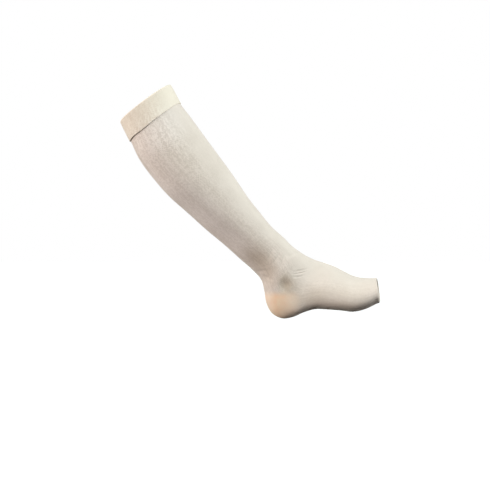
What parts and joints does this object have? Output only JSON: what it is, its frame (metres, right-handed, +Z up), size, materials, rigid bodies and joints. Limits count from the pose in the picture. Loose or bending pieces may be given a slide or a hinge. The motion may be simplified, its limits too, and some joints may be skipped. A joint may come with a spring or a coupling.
{
  "type": "compression stocking",
  "caption": "Knee-high knitted compression stocking with an open toe, knitted-in heel pocket and turned top band, hollow and filled out in the pose of a raised lower leg.",
  "frame": {"origin": "middle of the top band, half way down it and on the leg's axis, where the calf holds the garment up", "axes": "+X forward towards the toe opening, +Z up, +Y towards the inner side of a right leg; the leg runs down and forward at 51 degrees below level, as in the picture"},
  "size_m": [0.4183, 0.1074, 0.3735],
  "materials": {
    "knit": "matte fine elastic knit, ecru",
    "band": "matte turned double knit, ecru"
  },
  "bodies": {
    "root": {"upper_leg_knit": "knit", "lower_leg_knit": "knit", "heel_knit": "knit", "foot_knit": "knit", "top_band": "band"}
  },
  "joints": []
}
